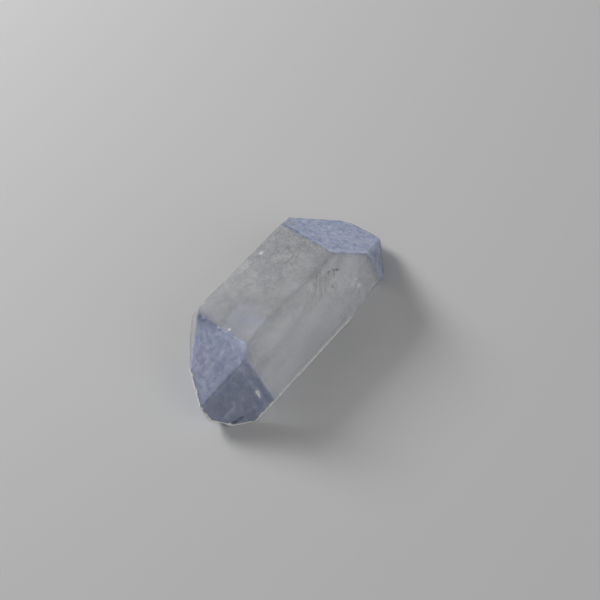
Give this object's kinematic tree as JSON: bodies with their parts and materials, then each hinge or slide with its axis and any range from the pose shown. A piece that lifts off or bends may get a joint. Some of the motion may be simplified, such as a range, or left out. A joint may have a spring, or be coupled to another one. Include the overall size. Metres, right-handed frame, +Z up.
{
  "type": "dumortierite quartz crystal",
  "caption": "Loose doubly terminated quartz crystal, six-sided and flattened, clear grey with pale blue faces at both ends, lying on a side face.",
  "frame": {"origin": "on the surface the crystal lies on, under the middle of its bounding box", "axes": "+X along the crystal's long axis towards the paler blue end, +Z up, out of the top side face; the bottom side face lies on the surface"},
  "size_m": [0.0236, 0.0098, 0.0064],
  "materials": {
    "quartz": "satin natural crystal faces, clear grey body with a milky haze, blue just under the faces of both ends"
  },
  "bodies": {
    "root": {"crystal": "quartz"}
  },
  "joints": []
}
